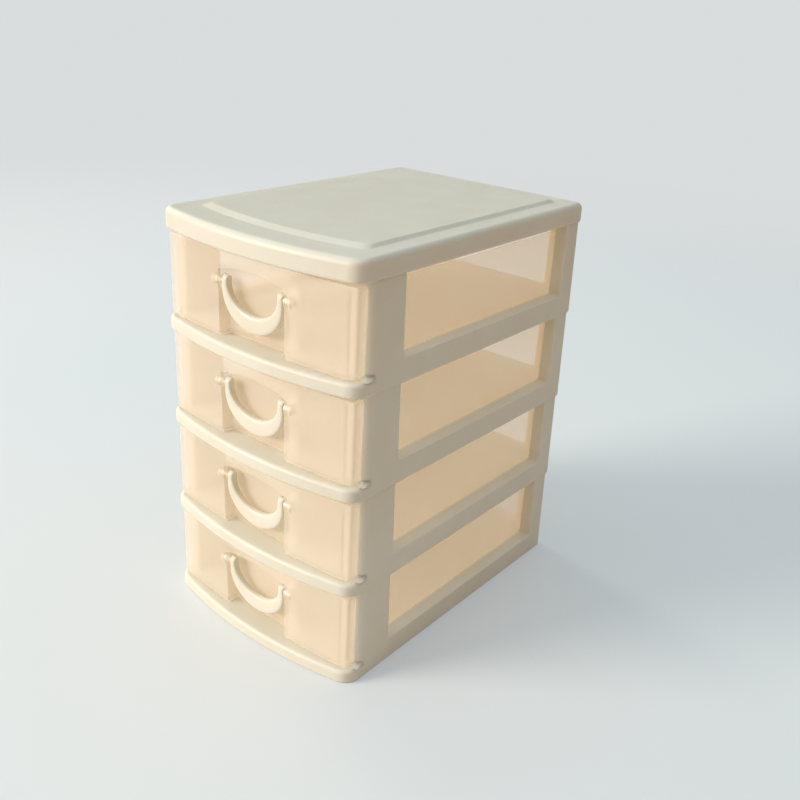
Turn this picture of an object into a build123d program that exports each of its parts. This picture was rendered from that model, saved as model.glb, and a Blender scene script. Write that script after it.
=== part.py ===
from build123d import *
import math
import os

os.makedirs("parts", exist_ok=True)

# Case: sizes in millimetres at the line where one tier meets the next.
case_width = 130.0
case_depth = 188.5
front_bow = 8.5
front_corner = 9.0
rear_corner = 5.0
tier_count = 4
tier_pitch = 51.8
draft_angle = 1.1
rail_flare = 0.6
rail_edge_round = 1.2
skin = 2.0
rib = 1.6

# Shelf, rails and corner pillars of one tier.
nose_height = 7.0
nose_round = 1.8
shelf_thickness = 2.0
ledge_height = 12.4
ledge_width = 6.9
pillar_setback = 15.0
pillar_corner = 4.0
pillar_foot_round = 3.0
wall_root = 0.2
window_corner = 1.5
front_pillar_length = 22.5
rear_pillar_length = 15.2
rear_pillar_return = 15.0
tongue_height = 4.5
tongue_shoulder = 2.0
joint_clearance = 0.15

# Top cover.
cover_border_height = 10.3
cover_edge_round = 3.2
panel_rise = 1.3
panel_side_inset = 11.0
panel_front_inset = 15.7
panel_bow = 6.5
panel_corner = 5.0
panel_side_bevel = 2.2
panel_front_bevel = 4.7

# Drawer tray and its bowed front.
slide_side_clearance = 0.6
slide_lift = 0.3
drawer_wall = 1.6
tray_back_gap = 0.85
tray_headroom = 4.8
tray_corner = 4.0
front_side_setback = 2.4
front_setback = 5.3
front_face_bow = 3.9
front_plate = 1.6
front_inner_round = 0.4
front_lower_corner = 3.0
front_upper_corner = 1.5
front_bottom_gap = 1.4
front_top_gap = 2.0
front_rear_gap = 0.3
front_rear_round = 0.2

# Handle recess in the drawer front.
recess_half_width = 22.1
recess_depth = 7.0
recess_side_top = 40.4
recess_arch_rise = 3.0
recess_foot_round = 1.5
pivot_height = 34.7
pivot_behind_face = 2.8
pivot_boss_radius = 3.1
pivot_boss_length = 3.9
pin_radius = 1.5
pin_clearance = 0.08
pin_end_gap = 0.4
slot_depth = 4.2
slot_pin_gap = 0.6
upper_slot_height = 3.4
lower_slot_height = 2.4

# Bail handle.
bail_half_width = 20.3
bail_arm_width = 3.7
bail_drop = 21.3
bail_bottom_width = 8.7
bail_shoulder_drop = 3.7
bail_above_pivot = 3.0
bail_thickness = 4.0
bail_edge_round = 1.2
bail_top_flat = 0.1

half_width = case_width / 2
front_y = -case_depth / 2
rear_y = case_depth / 2
draft_per_mm = math.tan(math.radians(draft_angle))
bay_half_width = half_width - ledge_width
bay_rear = rear_y - ledge_width
pillar_front = front_y + pillar_setback
window_front = pillar_front + front_pillar_length
window_rear = rear_y - rear_pillar_length
channel_outer = half_width - skin
channel_inner = bay_half_width + rib
far = 4 * max(case_width, case_depth)

front_half_width = half_width - front_side_setback
front_edge_round = front_plate + front_inner_round
face_apex = front_y + front_setback
pan_bottom = nose_height + front_bottom_gap
pan_top = tier_pitch - front_top_gap
pan_back = pillar_front - front_rear_gap
tray_half_width = bay_half_width - slide_side_clearance
tray_rear = bay_rear - tray_back_gap
tray_bottom = nose_height + slide_lift
tray_top = tier_pitch - tray_headroom
pivot_y = face_apex + pivot_behind_face
hole_radius = pin_radius + pin_clearance
recess_back = face_apex + recess_depth


def bowed_plan(half, front, back, bow, front_radius, back_radius):
    """Closed plan outline: bowed front, straight sides and back, rounded corners."""
    bow_radius = (half * half + bow * bow) / (2 * bow)
    bow_centre = front + bow_radius
    corner_x = half - front_radius
    reach = bow_radius - front_radius
    corner_y = bow_centre - math.sqrt(reach * reach - corner_x * corner_x)
    stretch = bow_radius / reach
    start_x = corner_x * stretch
    start_y = bow_centre + (corner_y - bow_centre) * stretch
    turn = math.atan2(corner_y - bow_centre, corner_x) / 2
    middle_x = corner_x + front_radius * math.cos(turn)
    middle_y = corner_y + front_radius * math.sin(turn)
    slant = back_radius * (1 - math.sqrt(0.5))
    right = [
        ThreePointArc((start_x, start_y), (middle_x, middle_y), (half, corner_y)),
        Line((half, corner_y), (half, back - back_radius)),
        ThreePointArc(
            (half, back - back_radius),
            (half - slant, back - slant),
            (half - back_radius, back),
        ),
    ]
    front_arc = ThreePointArc((-start_x, start_y), (0, front), (start_x, start_y))
    back_line = Line((half - back_radius, back), (back_radius - half, back))
    left = [mirror(edge, about=Plane.YZ) for edge in right]
    return make_face([front_arc, back_line, *right, *left])


def flat_plan(half, front, back, front_radius, back_radius):
    """Closed plan outline with a straight front."""
    middle = (front + back) / 2
    blank = Pos(0, middle) * Rectangle(2 * half, back - front)
    corners = blank.vertices().sort_by(Axis.Y)
    blank = fillet(corners[:2], front_radius)
    return fillet(blank.vertices().sort_by(Axis.Y)[-2:], back_radius)


def block(x_range, y_range, z_range):
    """Box between three pairs of coordinates."""
    size = [high - low for low, high in (x_range, y_range, z_range)]
    centre = [(high + low) / 2 for low, high in (x_range, y_range, z_range)]
    return Pos(*centre) * Box(*size)


def both_sides(shape):
    """The shape and its mirror image across the middle of the case."""
    return shape + mirror(shape, about=Plane.YZ)


def grow_at(height):
    """Outward growth of the case wall at a height above the bottom of its tier."""
    return rail_flare - height * draft_per_mm


def case_plan(grow):
    """Plan of a rail, grown outwards from the joint line."""
    return bowed_plan(
        half_width + grow, front_y - grow, rear_y + grow, front_bow, front_corner, rear_corner
    )


def underside_hollows(pan_roof, channel_roof):
    """Hollows below a shelf or cover: the middle pan and the channels along three sides."""
    inside = case_plan(-skin)
    middle = Pos(0, (bay_rear - far) / 2) * Rectangle(2 * bay_half_width, bay_rear + far)
    hollow = extrude(inside & middle, pan_roof) - block((-far, far), (-far, far), (-far, 0))
    side = block(
        (channel_inner, channel_outer), (pillar_front + skin, rear_y - skin), (0, channel_roof)
    )
    rear = block(
        (-channel_outer, channel_outer), (bay_rear + rib, rear_y - skin), (0, channel_roof)
    )
    return hollow + both_sides(side) + rear


def pillar_hollows():
    """Hollows inside the four corner pillars."""
    top = tier_pitch - tongue_shoulder
    front = block(
        (channel_inner, channel_outer - draft_per_mm * tier_pitch),
        (pillar_front + skin, window_front - rib),
        (0, top),
    )
    rear = block(
        (channel_inner, channel_outer - draft_per_mm * tier_pitch),
        (window_rear + rib, rear_y - skin),
        (0, top),
    )
    inward = block(
        (half_width - rear_pillar_return + rib, channel_inner + rib),
        (bay_rear + rib, rear_y - skin - draft_per_mm * tier_pitch),
        (0, top),
    )
    return both_sides(front + rear + inward)


def pillar_tongues():
    """Tongues on the pillar tops that plug into the channels above."""
    outer = channel_outer - joint_clearance
    inner = channel_inner + joint_clearance
    heights = (tier_pitch - tongue_shoulder, tier_pitch + tongue_height)
    front = block(
        (inner, outer), (pillar_front + skin + joint_clearance, window_front - rib), heights
    )
    rear = block(
        (inner, outer), (window_rear + rib, rear_y - skin - joint_clearance), heights
    )
    return both_sides(front + rear)


def pillar_feet():
    """Concave blends where the front pillars stand on the nose beside the drawer front."""
    reach = pillar_foot_round
    profile = Pos(reach / 2, reach / 2) * Rectangle(reach, reach)
    profile -= Pos(reach, reach) * Circle(reach)
    corner_x = half_width + grow_at(nose_height) - pillar_corner
    corner = revolve(Plane.XZ * Pos(pillar_corner, 0) * profile, Axis.Z, -90)
    corner = Pos(corner_x, pillar_front + pillar_corner, nose_height) * corner
    corner &= block((front_half_width + front_rear_gap, far), (-far, far), (0, far))
    outline = Pos(0, 0, nose_height) * case_plan(grow_at(nose_height))
    return both_sides(corner) & extrude(outline, reach, taper=draft_angle)


def window(x_range, y_range, along):
    """Opening above the ledge with rounded lower corners."""
    opening = block(x_range, y_range, (ledge_height, far))
    return fillet(opening.edges().filter_by(along).group_by(Axis.Z)[0], window_corner)


def make_tier():
    """One storey of the case: rail, shelf and four corner pillars."""
    rail = extrude(case_plan(rail_flare), nose_height, taper=draft_angle)
    rail = fillet(rail.edges().group_by(Axis.Z)[0], rail_edge_round)
    rail = fillet(rail.edges().group_by(Axis.Z)[-1], nose_round)
    start = nose_height - nose_round - wall_root
    grow = grow_at(start)
    walls_plan = flat_plan(
        half_width + grow, pillar_front, rear_y + grow, pillar_corner, rear_corner
    )
    walls = extrude(Pos(0, 0, start) * walls_plan, tier_pitch - start, taper=draft_angle)
    bay = block(
        (-bay_half_width, bay_half_width), (-far, bay_rear), (nose_height, far)
    )
    back_half = half_width - rear_pillar_return
    tier = rail + (walls - bay)
    tier += pillar_feet()
    tier -= window((-far, far), (window_front, window_rear), Axis.X)
    tier -= window((-back_half, back_half), (0, far), Axis.Y)
    tier -= underside_hollows(nose_height - shelf_thickness, ledge_height - skin)
    tier -= pillar_hollows()
    return tier + pillar_tongues()


def make_cover():
    """Top cover: rounded skirt with a raised panel."""
    cover = extrude(case_plan(rail_flare), cover_border_height, taper=draft_angle)
    cover = fillet(cover.edges().group_by(Axis.Z)[-1], cover_edge_round)
    cover = fillet(cover.edges().group_by(Axis.Z)[0], rail_edge_round)
    foot = bowed_plan(
        half_width - panel_side_inset,
        front_y + panel_front_inset,
        rear_y - panel_side_inset,
        panel_bow,
        panel_corner,
        panel_corner,
    )
    crown = bowed_plan(
        half_width - panel_side_inset - panel_side_bevel,
        front_y + panel_front_inset + panel_front_bevel,
        rear_y - panel_side_inset - panel_side_bevel,
        panel_bow,
        panel_corner,
        panel_corner,
    )
    low = Pos(0, 0, cover_border_height) * foot
    high = Pos(0, 0, cover_border_height + panel_rise) * crown
    panel = loft([low, high], ruled=True)
    roof = cover_border_height - skin
    return cover + panel - underside_hollows(roof, roof)


def behind_face(offset):
    """Everything behind the bowed drawer face, set back from it by the offset."""
    corner = front_edge_round / 2
    face = face_apex + offset
    plan = bowed_plan(front_half_width, face, far, front_face_bow, corner, corner)
    return extrude(plan, tier_pitch)


def recess_prism(grow, back):
    """Arch-topped prism, open below, from far in front of the drawer to the given depth."""
    half = recess_half_width + grow
    side_top = recess_side_top + grow
    top = (0, side_top + recess_arch_rise)
    outline = [
        Line((half, 0), (-half, 0)),
        Line((-half, 0), (-half, side_top)),
        ThreePointArc((-half, side_top), top, (half, side_top)),
        Line((half, side_top), (half, 0)),
    ]
    prism = extrude(Plane.XZ * make_face(outline), far, both=True)
    return prism & block((-far, far), (-far, back), (0, far))


def recess_feet():
    """Waste beyond the rounded lower corners of the recess."""
    reach = recess_foot_round
    profile = Pos(reach / 2, reach / 2) * Rectangle(reach, reach)
    profile -= Pos(reach, reach) * Circle(reach)
    corner = extrude(Plane.XZ * Pos(recess_half_width, pan_bottom) * profile, far, both=True)
    return both_sides(corner & block((0, far), (-far, recess_back), (0, far)))


def along_x(radius, start, end):
    """Round bar on the pivot axis between two distances from the middle."""
    bar = Cylinder(radius, end - start, align=(Align.CENTER, Align.CENTER, Align.MIN))
    return Pos(start, pivot_y, pivot_height) * Rot(0, 90, 0) * bar


def make_front_pan():
    """Bowed drawer front with edges that turn back towards the pillars."""
    height = pan_top - pan_bottom
    outer_plan = bowed_plan(
        front_half_width, face_apex, pan_back, front_face_bow, front_edge_round, front_rear_round
    )
    outer = extrude(Pos(0, 0, pan_bottom) * outer_plan, height)
    outline = Pos(0, pan_bottom + height / 2) * Rectangle(2 * front_half_width, height)
    outline = fillet(outline.vertices().sort_by(Axis.Y)[:2], front_lower_corner)
    outline = fillet(outline.vertices().sort_by(Axis.Y)[-2:], front_upper_corner)
    outer &= extrude(Plane.XZ * outline, far, both=True)
    inner_plan = bowed_plan(
        front_half_width - front_plate,
        face_apex + front_plate,
        far,
        front_face_bow,
        front_inner_round,
        front_inner_round,
    )
    inner = extrude(Pos(0, 0, pan_bottom + front_plate) * inner_plan, far)
    return outer - inner


def make_drawer():
    """Frosted drawer: open tray, bowed front, handle recess and pivot bosses."""
    tray_plan = flat_plan(tray_half_width, -far, tray_rear, tray_corner, tray_corner)
    tray = extrude(Pos(0, 0, tray_bottom) * tray_plan, tray_top - tray_bottom)
    tray &= behind_face(front_plate / 2)
    inside_half = tray_half_width - drawer_wall
    inside_corner = tray_corner - drawer_wall
    inside_rear = tray_rear - drawer_wall
    inside_plan = flat_plan(inside_half, -far, inside_rear, inside_corner, inside_corner)
    inside = extrude(Pos(0, 0, tray_bottom + drawer_wall) * inside_plan, far)
    inside &= behind_face(front_plate)
    drawer = make_front_pan() + tray - inside

    housing = recess_prism(drawer_wall, recess_back + drawer_wall) & behind_face(front_plate / 2)
    housing &= block((-far, far), (-far, far), (tray_bottom, far))
    boss = along_x(pivot_boss_radius, recess_half_width, recess_half_width + pivot_boss_length)
    drawer += housing
    drawer += both_sides(boss)
    drawer -= recess_prism(0, recess_back)
    drawer -= recess_feet()

    pin_hole = along_x(hole_radius, 0, recess_half_width + pivot_boss_length + drawer_wall)
    slot_x = (0, recess_half_width + drawer_wall)
    slot_y = (recess_back - slot_depth, recess_back)
    upper = pivot_height + hole_radius + slot_pin_gap
    lower = pivot_height - hole_radius - slot_pin_gap
    slots = block(slot_x, slot_y, (upper, upper + upper_slot_height))
    slots += block(slot_x, slot_y, (lower - lower_slot_height, lower))
    return drawer - both_sides(pin_hole + slots)


def make_handle():
    """Bail handle: U-shaped grip hanging from two pins."""
    half = bail_half_width
    shoulder = pivot_height - bail_shoulder_drop
    outer_drop = bail_drop - bail_shoulder_drop
    inner_drop = bail_drop - bail_bottom_width
    top = pivot_height + bail_above_pivot
    outer = Pos(0, shoulder) * Ellipse(half, outer_drop)
    outer += Pos(0, (shoulder + top) / 2) * Rectangle(2 * half, top - shoulder)
    inner_half = half - bail_arm_width
    inner = Pos(0, pivot_height) * Ellipse(inner_half, inner_drop)
    inner += Pos(0, pivot_height + far / 2) * Rectangle(2 * inner_half, far)
    lower = Pos(0, top - far / 2) * Rectangle(far, far)
    grip = extrude(Plane.XZ * ((outer & lower) - inner), bail_thickness / 2, both=True)
    top_edges = grip.edges().filter_by(Axis.X).group_by(Axis.Z)[-1]
    grip = fillet(top_edges, (bail_thickness - bail_top_flat) / 2)
    long_edges = grip.faces().sort_by(Axis.Y)[0].edges() + grip.faces().sort_by(Axis.Y)[-1].edges()
    grip = fillet(long_edges.filter_by(Axis.X, reverse=True), bail_edge_round)
    grip = Pos(0, pivot_y, 0) * grip
    pin = along_x(
        pin_radius, half - bail_arm_width / 2, recess_half_width + pivot_boss_length - pin_end_gap
    )
    return grip + both_sides(pin)


def save(shape, name):
    """Write one piece to its own file."""
    export_step(shape, f"parts/{name}.step")


tier = make_tier()
drawer = make_drawer()
handle = make_handle()
cover = make_cover()
for number in range(tier_count):
    lift = Pos(0, 0, number * tier_pitch)
    save(lift * tier, f"tier_frame_{number + 1}")
    save(lift * drawer, f"drawer_{number + 1}")
    save(lift * handle, f"handle_{number + 1}")
save(Pos(0, 0, tier_count * tier_pitch) * cover, "top_cover")
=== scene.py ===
import bpy
import math
from mathutils import Matrix, Vector


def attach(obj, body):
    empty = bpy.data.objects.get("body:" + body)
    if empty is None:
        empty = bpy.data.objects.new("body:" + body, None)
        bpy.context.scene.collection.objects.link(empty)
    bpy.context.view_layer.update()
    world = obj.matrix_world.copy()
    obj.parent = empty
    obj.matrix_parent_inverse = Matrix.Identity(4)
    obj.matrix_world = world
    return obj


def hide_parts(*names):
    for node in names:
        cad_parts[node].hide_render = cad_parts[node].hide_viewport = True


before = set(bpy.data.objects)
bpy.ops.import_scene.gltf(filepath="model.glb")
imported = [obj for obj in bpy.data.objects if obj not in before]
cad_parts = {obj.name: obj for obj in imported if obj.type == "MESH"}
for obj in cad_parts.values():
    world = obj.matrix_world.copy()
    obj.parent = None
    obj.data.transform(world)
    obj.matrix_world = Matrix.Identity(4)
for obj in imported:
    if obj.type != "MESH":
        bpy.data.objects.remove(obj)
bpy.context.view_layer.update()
print("frame loaded:", len(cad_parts), "nodes")

mm = 0.001


# node tree helpers

def addNode(tree, kind, **settings):
    node = tree.nodes.new(kind)
    for name, value in settings.items():
        setattr(node, name, value)
    return node


def wire(tree, source, target):
    tree.links.new(source, target)


def calc(tree, operation, first, second=None, third=None):
    # one math node; inputs are sockets or plain numbers
    node = addNode(tree, "ShaderNodeMath", operation=operation)
    for slot, value in enumerate((first, second, third)):
        if value is None:
            continue
        if isinstance(value, (int, float)):
            node.inputs[slot].default_value = value
        else:
            wire(tree, value, node.inputs[slot])
    return node.outputs[0]


def remap(tree, value, span, toLow, toHigh):
    # eases from toLow to toHigh as the value crosses the span
    node = addNode(tree, "ShaderNodeMapRange", interpolation_type="SMOOTHSTEP")
    wire(tree, value, node.inputs["Value"])
    ends = {"From Min": span[0], "From Max": span[1], "To Min": toLow, "To Max": toHigh}
    for name, number in ends.items():
        node.inputs[name].default_value = number
    return node.outputs["Result"]


def noise(tree, place, scale, detail=3.0, roughness=0.5):
    node = addNode(tree, "ShaderNodeTexNoise")
    wire(tree, place, node.inputs["Vector"])
    node.inputs["Scale"].default_value = scale
    node.inputs["Detail"].default_value = detail
    node.inputs["Roughness"].default_value = roughness
    return node.outputs["Fac"]


def blendColour(tree, amount, first, second):
    # mixes two colours, each a socket or an RGBA tuple
    node = addNode(tree, "ShaderNodeMix", data_type="RGBA")
    wire(tree, amount, node.inputs["Factor"])
    for name, value in (("A", first), ("B", second)):
        socket = [s for s in node.inputs if s.name == name and s.type == "RGBA"][0]
        if isinstance(value, tuple):
            socket.default_value = value
        else:
            wire(tree, value, socket)
    return [s for s in node.outputs if s.type == "RGBA"][0]


# moulded plastics of the case, the drawers and the bails: deep and base are their tints, and the pale tint
# serves the clouds and a painted highlight at the edges, scatter is how far light spreads inside, and the
# emission colour is a painted glow standing in for light that passes through the frosted walls

ivoryCase = {
    "name": "ivoryCasePlastic",
    "base": (0.835, 0.785, 0.665, 1.0),
    "cloudAndHighlightTint": (0.95, 0.93, 0.87, 1.0),
    "deep": (0.82, 0.765, 0.64, 1.0),
    "roughness": (0.38, 0.50),
    "grain": 0.35,
    "cloudiness": 0.12,
    "edge": 0.9,
    "edgeRadius": 0.5 * mm,
    "subsurface": 0.5,
    "scatter": 1.5 * mm,
    "ior": 1.49,
    "alpha": 1.0,
    "inner": (0.0, 0.0, 0.0, 1.0),
}
frostedDrawer = {
    "name": "frostedDrawerPlastic",
    "base": (0.845, 0.77, 0.665, 1.0),
    "cloudAndHighlightTint": (0.99, 0.97, 0.92, 1.0),
    "deep": (0.83, 0.75, 0.64, 1.0),
    "roughness": (0.34, 0.42),
    "grain": 0.4,
    "cloudiness": 0.08,
    "edge": 1.0,
    "edgeRadius": 0.8 * mm,
    "subsurface": 0.15,
    "scatter": 1.0 * mm,
    "ior": 1.45,
    "alpha": 0.3,
    "inner": (0.245, 0.193, 0.131, 1.0),
}
ivoryBail = {
    "name": "ivoryBailPlastic",
    "base": (0.87, 0.81, 0.68, 1.0),
    "cloudAndHighlightTint": (0.92, 0.89, 0.80, 1.0),
    "deep": (0.85, 0.78, 0.64, 1.0),
    "roughness": (0.32, 0.42),
    "grain": 0.25,
    "cloudiness": 0.15,
    "edge": 0.3,
    "edgeRadius": 0.5 * mm,
    "subsurface": 0.12,
    "scatter": 2.0 * mm,
    "ior": 1.49,
    "alpha": 1.0,
    "inner": (0.0, 0.0, 0.0, 1.0),
}

mouldMarks = {
    "driftScale": 14.0,
    "driftSpan": (0.35, 0.65),
    "cloudScale": 55.0,
    "cloudSpan": (0.45, 0.7),
    "edgeSamples": 6,
    "edgeLean": (0.995, 0.90),
    "streakScale": (260.0, 30.0, 900.0),
    "streakDetail": 4.0,
    "streakRoughness": 0.6,
    "streakSpan": (0.3, 0.7),
    "grainScale": 2600.0,
    "grainShare": 0.3,
    "waveScale": 120.0,
    "softDetail": 2.0,
    "depth": 0.05 * mm,
}


def mouldedPlastic(look):
    material = bpy.data.materials.new(look["name"])
    material.use_nodes = True
    tree = material.node_tree
    tree.nodes.clear()
    output = addNode(tree, "ShaderNodeOutputMaterial")
    shader = addNode(tree, "ShaderNodeBsdfPrincipled")
    wire(tree, shader.outputs["BSDF"], output.inputs["Surface"])
    place = addNode(tree, "ShaderNodeTexCoord").outputs["Object"]

    # slow drift of the tint, as the melt cools unevenly
    drift = noise(tree, place, mouldMarks["driftScale"], mouldMarks["softDetail"])
    drift = remap(tree, drift, mouldMarks["driftSpan"], 0.0, 1.0)
    tint = blendColour(tree, drift, look["deep"], look["base"])
    clouds = noise(tree, place, mouldMarks["cloudScale"])
    clouds = remap(tree, clouds, mouldMarks["cloudSpan"], 0.0, look["cloudiness"])
    tint = blendColour(tree, clouds, tint, look["cloudAndHighlightTint"])

    # rounded normal at sharp edges; a painted highlight makes the base colour paler where it leans away from
    # the face
    rounded = addNode(tree, "ShaderNodeBevel", samples=mouldMarks["edgeSamples"])
    rounded.inputs["Radius"].default_value = look["edgeRadius"]
    face = addNode(tree, "ShaderNodeNewGeometry").outputs["Normal"]
    lean = addNode(tree, "ShaderNodeVectorMath", operation="DOT_PRODUCT")
    wire(tree, rounded.outputs["Normal"], lean.inputs[0])
    wire(tree, face, lean.inputs[1])
    edge = remap(tree, lean.outputs["Value"], mouldMarks["edgeLean"], 0.0, look["edge"])
    wire(tree, blendColour(tree, edge, tint, look["cloudAndHighlightTint"]), shader.inputs["Base Color"])

    # satin grain of the mould, with faint rubbed streaks
    streaks = addNode(tree, "ShaderNodeMapping")
    streaks.inputs["Scale"].default_value = mouldMarks["streakScale"]
    wire(tree, place, streaks.inputs["Vector"])
    stretched = streaks.outputs["Vector"]
    rubbed = noise(tree, stretched, 1.0, mouldMarks["streakDetail"], mouldMarks["streakRoughness"])
    wire(tree, remap(tree, rubbed, mouldMarks["streakSpan"], *look["roughness"]), shader.inputs["Roughness"])
    grain = noise(tree, place, mouldMarks["grainScale"], mouldMarks["softDetail"])
    waves = noise(tree, place, mouldMarks["waveScale"], mouldMarks["softDetail"])
    height = calc(tree, "ADD", calc(tree, "MULTIPLY", grain, mouldMarks["grainShare"]), waves)
    bump = addNode(tree, "ShaderNodeBump")
    bump.inputs["Strength"].default_value = look["grain"]
    bump.inputs["Distance"].default_value = mouldMarks["depth"]
    wire(tree, height, bump.inputs["Height"])
    wire(tree, rounded.outputs["Normal"], bump.inputs["Normal"])
    wire(tree, bump.outputs["Normal"], shader.inputs["Normal"])

    shader.inputs["IOR"].default_value = look["ior"]
    shader.inputs["Subsurface Weight"].default_value = look["subsurface"]
    shader.inputs["Subsurface Radius"].default_value = (1.0, 1.0, 1.0)
    shader.inputs["Subsurface Scale"].default_value = look["scatter"]
    shader.inputs["Alpha"].default_value = look["alpha"]
    # the emission is a painted glow: the frosted drawers shine though no lamp is inside them, in place of
    # light passing through their walls
    shader.inputs["Emission Color"].default_value = look["inner"]
    shader.inputs["Emission Strength"].default_value = 1.0
    return material


casePlastic = mouldedPlastic(ivoryCase)
drawerPlastic = mouldedPlastic(frostedDrawer)
bailPlastic = mouldedPlastic(ivoryBail)

for nodeName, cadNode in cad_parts.items():
    finish = drawerPlastic if nodeName.startswith("drawer") else casePlastic
    for slot in cadNode.material_slots:
        slot.material = finish
print("plastics assigned")


# bail handles: one tree sweeps a rounded section along the U of a bail and adds its two pins

bail = {
    "halfWidth": 20.3 * mm,
    "armWidth": 3.7 * mm,
    "drop": 21.3 * mm,
    "bottomWidth": 8.7 * mm,
    "shoulderDrop": 3.7 * mm,
    "abovePivot": 3.0 * mm,
    "thickness": 4.0 * mm,
    "pinRadius": 1.5 * mm,
    "pinReach": 25.6 * mm,
    "pinSides": 40,
    "pivotY": -86.15 * mm,
    "pivotZ": 34.7 * mm,
    "tierPitch": 51.8 * mm,
    "count": 4,
    "squareness": 3.6,
    "stepsAlong": 129,
    "stepsAround": 41,
    "armShare": 0.16,
    "tipShare": 0.075,
    "mergeGap": 0.002 * mm,
    "smoothAngle": 50.0,
}


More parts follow.
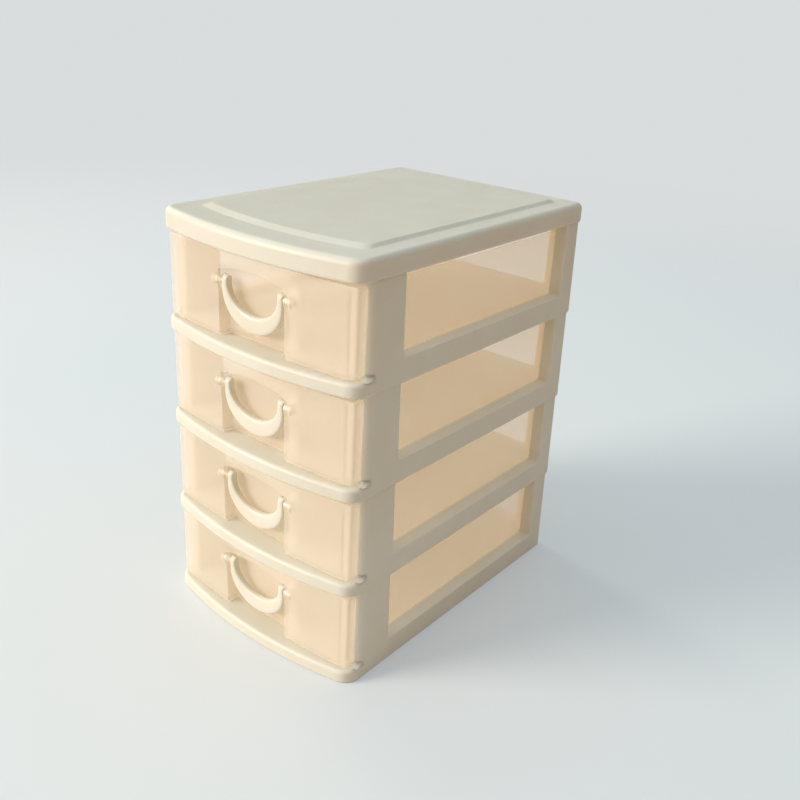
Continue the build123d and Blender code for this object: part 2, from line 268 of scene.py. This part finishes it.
def bailTree():
    tree = bpy.data.node_groups.new("bailHandleTree", "GeometryNodeTree")
    sockets = tree.interface
    sockets.new_socket(name="Geometry", in_out="INPUT", socket_type="NodeSocketGeometry")
    sizes = ("halfWidth", "armWidth", "drop", "bottomWidth", "shoulderDrop", "abovePivot", "thickness",
             "pinRadius", "pinReach", "pivotY", "pivotZ")
    for name in sizes:
        size = sockets.new_socket(name=name, in_out="INPUT", socket_type="NodeSocketFloat")
        size.default_value = bail[name]
    sockets.new_socket(name="plastic", in_out="INPUT", socket_type="NodeSocketMaterial")
    sockets.new_socket(name="Geometry", in_out="OUTPUT", socket_type="NodeSocketGeometry")
    given = addNode(tree, "NodeGroupInput").outputs
    result = addNode(tree, "NodeGroupOutput")

    grid = addNode(tree, "GeometryNodeMeshGrid")
    grid.inputs["Size X"].default_value = 2.0
    grid.inputs["Size Y"].default_value = math.tau
    grid.inputs["Vertices X"].default_value = bail["stepsAlong"]
    grid.inputs["Vertices Y"].default_value = bail["stepsAround"]
    spot = addNode(tree, "ShaderNodeSeparateXYZ")
    wire(tree, addNode(tree, "GeometryNodeInputPosition").outputs[0], spot.inputs[0])
    along, around = spot.outputs[0], spot.outputs[1]

    # the U: an elliptical bend between two straight arms, inner and outer lines apart
    bendEnd = 1.0 - bail["armShare"]
    turn = calc(tree, "MULTIPLY", calc(tree, "DIVIDE", along, bendEnd), math.pi / 2)
    turn = calc(tree, "MINIMUM", calc(tree, "MAXIMUM", turn, -math.pi / 2), math.pi / 2)
    across, down = calc(tree, "SINE", turn), calc(tree, "COSINE", turn)
    reach = calc(tree, "ABSOLUTE", along)
    rise = calc(tree, "DIVIDE", calc(tree, "SUBTRACT", reach, bendEnd), bail["armShare"])
    rise = calc(tree, "MAXIMUM", rise, 0.0)
    outerX = calc(tree, "MULTIPLY", across, given["halfWidth"])
    innerX = calc(tree, "MULTIPLY", across, calc(tree, "SUBTRACT", given["halfWidth"], given["armWidth"]))
    outerFall = calc(tree, "MULTIPLY", down, calc(tree, "SUBTRACT", given["drop"], given["shoulderDrop"]))
    innerFall = calc(tree, "MULTIPLY", down, calc(tree, "SUBTRACT", given["drop"], given["bottomWidth"]))
    outerRise = calc(tree, "MULTIPLY", rise, calc(tree, "ADD", given["abovePivot"], given["shoulderDrop"]))
    innerRise = calc(tree, "MULTIPLY", rise, given["abovePivot"])
    outerZ = calc(tree, "SUBTRACT", calc(tree, "SUBTRACT", outerRise, outerFall), given["shoulderDrop"])
    innerZ = calc(tree, "SUBTRACT", innerRise, innerFall)

    # rounded section, thinned to nothing at the tips of the arms
    power = 2.0 / bail["squareness"]

    def squared(wave):
        raised = calc(tree, "POWER", calc(tree, "ABSOLUTE", wave), power)
        return calc(tree, "MULTIPLY", calc(tree, "SIGN", wave), raised)

    wide, deep = squared(calc(tree, "COSINE", around)), squared(calc(tree, "SINE", around))
    tip = calc(tree, "DIVIDE", calc(tree, "SUBTRACT", reach, 1.0 - bail["tipShare"]), bail["tipShare"])
    tip = calc(tree, "MAXIMUM", tip, 0.0)
    fade = calc(tree, "SUBTRACT", 1.0, calc(tree, "MULTIPLY", tip, tip))
    fade = calc(tree, "SQRT", calc(tree, "MAXIMUM", fade, 0.0))

    def between(inner, outer):
        middle = calc(tree, "MULTIPLY", calc(tree, "ADD", inner, outer), 0.5)
        half = calc(tree, "MULTIPLY", calc(tree, "SUBTRACT", outer, inner), 0.5)
        return calc(tree, "MULTIPLY_ADD", half, wide, middle)

    place = addNode(tree, "ShaderNodeCombineXYZ")
    wire(tree, between(innerX, outerX), place.inputs[0])
    depth = calc(tree, "MULTIPLY", given["thickness"], 0.5)
    depth = calc(tree, "MULTIPLY", depth, calc(tree, "MULTIPLY", deep, fade))
    wire(tree, calc(tree, "ADD", depth, given["pivotY"]), place.inputs[1])
    wire(tree, calc(tree, "ADD", between(innerZ, outerZ), given["pivotZ"]), place.inputs[2])
    shaped = addNode(tree, "GeometryNodeSetPosition")
    wire(tree, grid.outputs["Mesh"], shaped.inputs["Geometry"])
    wire(tree, place.outputs[0], shaped.inputs["Position"])
    closed = addNode(tree, "GeometryNodeMergeByDistance")
    closed.inputs["Distance"].default_value = bail["mergeGap"]
    wire(tree, shaped.outputs[0], closed.inputs["Geometry"])

    # pins from inside each arm to the boss
    joined = addNode(tree, "GeometryNodeJoinGeometry")
    wire(tree, closed.outputs[0], joined.inputs[0])
    pinStart = calc(tree, "SUBTRACT", given["halfWidth"], calc(tree, "MULTIPLY", given["armWidth"], 0.5))
    length = calc(tree, "SUBTRACT", given["pinReach"], pinStart)
    middle = calc(tree, "MULTIPLY", calc(tree, "ADD", given["pinReach"], pinStart), 0.5)
    for side in (1.0, -1.0):
        bar = addNode(tree, "GeometryNodeMeshCylinder")
        bar.inputs["Vertices"].default_value = bail["pinSides"]
        wire(tree, given["pinRadius"], bar.inputs["Radius"])
        wire(tree, length, bar.inputs["Depth"])
        centre = addNode(tree, "ShaderNodeCombineXYZ")
        wire(tree, calc(tree, "MULTIPLY", middle, side), centre.inputs[0])
        wire(tree, given["pivotY"], centre.inputs[1])
        wire(tree, given["pivotZ"], centre.inputs[2])
        laid = addNode(tree, "GeometryNodeTransform")
        laid.inputs["Rotation"].default_value = (0.0, math.pi / 2, 0.0)
        wire(tree, bar.outputs["Mesh"], laid.inputs["Geometry"])
        wire(tree, centre.outputs[0], laid.inputs["Translation"])
        wire(tree, laid.outputs[0], joined.inputs[0])
    real = addNode(tree, "GeometryNodeRealizeInstances")
    wire(tree, joined.outputs[0], real.inputs[0])
    coated = addNode(tree, "GeometryNodeSetMaterial")
    wire(tree, real.outputs[0], coated.inputs["Geometry"])
    wire(tree, given["plastic"], coated.inputs["Material"])
    wire(tree, coated.outputs[0], result.inputs[0])
    return tree


def growFromTree(tree, name, values):
    # runs a tree once and keeps its result as a plain mesh
    holder = bpy.data.objects.new(name + "Holder", bpy.data.meshes.new(name + "Seed"))
    bpy.context.scene.collection.objects.link(holder)
    modifier = holder.modifiers.new("grow", "NODES")
    modifier.node_group = tree
    for item in tree.interface.items_tree:
        if item.in_out == "INPUT" and item.name in values:
            modifier[item.identifier] = values[item.name]
    evaluated = holder.evaluated_get(bpy.context.evaluated_depsgraph_get())
    mesh = bpy.data.meshes.new_from_object(evaluated)
    holder.modifiers.clear()
    bpy.data.objects.remove(holder)
    mesh.name = name
    piece = bpy.data.objects.new(name, mesh)
    bpy.context.scene.collection.objects.link(piece)
    return piece


def shadeByAngle(piece, degrees):
    piece.data.shade_smooth()
    piece.data.set_sharp_from_angle(angle=math.radians(degrees))


bailNodes = bailTree()
for tier in range(bail["count"]):
    number = tier + 1
    values = {"pivotZ": bail["pivotZ"] + tier * bail["tierPitch"], "plastic": bailPlastic}
    piece = growFromTree(bailNodes, f"bailHandle{number}", values)
    shadeByAngle(piece, bail["smoothAngle"])
    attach(piece, f"bail_{number}")
    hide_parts(f"handle_{number}")
print("bail handles made")


# floor, lights and camera

floorLook = {
    "half": 3.0,
    "colour": (0.71, 0.70, 0.67, 1.0),
    "glow": (0.13, 0.145, 0.165, 1.0),
    "roughness": 0.9,
    "shine": 0.1,
    "fade": (0.45, 1.5),
}


def makeFloor():
    mesh = bpy.data.meshes.new("paleFloor")
    half = floorLook["half"]
    corners = [(-half, -half, 0), (half, -half, 0), (half, half, 0), (-half, half, 0)]
    mesh.from_pydata(corners, [], [(0, 1, 2, 3)])
    floor = bpy.data.objects.new("paleFloor", mesh)
    bpy.context.scene.collection.objects.link(floor)
    material = bpy.data.materials.new("paleFloor")
    material.use_nodes = True
    tree = material.node_tree
    shader = tree.nodes["Principled BSDF"]
    shader.inputs["Base Color"].default_value = floorLook["colour"]
    shader.inputs["Roughness"].default_value = floorLook["roughness"]
    shader.inputs["Specular IOR Level"].default_value = floorLook["shine"]
    # fades into the backdrop away from the unit
    distance = addNode(tree, "ShaderNodeVectorMath", operation="LENGTH")
    wire(tree, addNode(tree, "ShaderNodeTexCoord").outputs["Object"], distance.inputs[0])
    shown = remap(tree, distance.outputs["Value"], floorLook["fade"], 1.0, 0.0)
    wire(tree, shown, shader.inputs["Alpha"])
    shader.inputs["Emission Color"].default_value = floorLook["glow"]
    seen = addNode(tree, "ShaderNodeLightPath").outputs["Is Camera Ray"]
    wire(tree, seen, shader.inputs["Emission Strength"])
    mesh.materials.append(material)


lampTarget = (0, 0, 0.1)
lamps = {
    "keyLamp": {"place": (-2.4, -3.2, 1.55), "size": 2.2, "watts": 170.0, "colour": (1.0, 0.95, 0.88)},
    "windowLamp": {"place": (-3.9, 0.75, 1.1), "size": 1.2, "watts": 38.0, "colour": (1.0, 0.88, 0.70)},
    "sideLamp": {"place": (2.0, -0.4, 1.2), "size": 0.8, "watts": 4.0, "colour": (1.0, 0.50, 0.22)},
}


def softLamp(name, lamp):
    data = bpy.data.lights.new(name, "AREA")
    data.shape = "DISK"
    data.size = lamp["size"]
    data.energy = lamp["watts"]
    data.color = lamp["colour"]
    holder = bpy.data.objects.new(name, data)
    holder.location = lamp["place"]
    aim = Vector(lampTarget) - Vector(lamp["place"])
    holder.rotation_euler = aim.to_track_quat("-Z", "Y").to_euler()
    bpy.context.scene.collection.objects.link(holder)


room = {
    "skyColour": (0.63, 0.89, 1.05, 1.0),
    "wallColour": (0.20, 0.115, 0.045, 1.0),
    "skySpan": (0.40, 0.95),
    "backdropColour": (0.70, 0.72, 0.725, 1.0),
}


def makeRoom():
    # cool light from overhead, warm light from the walls, and a plain backdrop for the camera
    world = bpy.data.worlds.new("studioWorld")
    world.use_nodes = True
    tree = world.node_tree
    light = tree.nodes["Background"]
    height = addNode(tree, "ShaderNodeSeparateXYZ")
    wire(tree, addNode(tree, "ShaderNodeTexCoord").outputs["Generated"], height.inputs[0])
    overhead = remap(tree, height.outputs["Z"], room["skySpan"], 0.0, 1.0)
    wire(tree, blendColour(tree, overhead, room["wallColour"], room["skyColour"]), light.inputs["Color"])
    backdrop = addNode(tree, "ShaderNodeBackground")
    backdrop.inputs["Color"].default_value = room["backdropColour"]
    seen = addNode(tree, "ShaderNodeLightPath")
    shown = calc(tree, "MAXIMUM", seen.outputs["Is Camera Ray"], seen.outputs["Is Transmission Ray"])
    choice = addNode(tree, "ShaderNodeMixShader")
    wire(tree, shown, choice.inputs[0])
    wire(tree, light.outputs[0], choice.inputs[1])
    wire(tree, backdrop.outputs[0], choice.inputs[2])
    wire(tree, choice.outputs[0], tree.nodes["World Output"].inputs["Surface"])
    bpy.context.scene.world = world


view = {
    "place": (0.30107, -0.35557, 0.31801),
    "right": (0.7688, 0.6374, 0.0509),
    "up": (-0.2972, 0.2856, 0.9111),
    "focalPixels": 916.05,
    "framePixels": 800,
    "sensorWidth": 36.0,
}


def placeCamera():
    data = bpy.data.cameras.new("photoCamera")
    data.sensor_width = view["sensorWidth"]
    data.lens = view["focalPixels"] / view["framePixels"] * view["sensorWidth"]
    camera = bpy.data.objects.new("photoCamera", data)
    right = Vector(view["right"]).normalized()
    back = right.cross(Vector(view["up"])).normalized()
    up = back.cross(right)
    turned = Matrix((right, up, back)).transposed().to_4x4()
    camera.matrix_world = Matrix.Translation(view["place"]) @ turned
    bpy.context.scene.collection.objects.link(camera)
    bpy.context.scene.camera = camera


makeFloor()
for lampName, lamp in lamps.items():
    softLamp(lampName, lamp)
makeRoom()
bpy.context.scene.view_settings.view_transform = "Standard"
placeCamera()
print("studio ready")
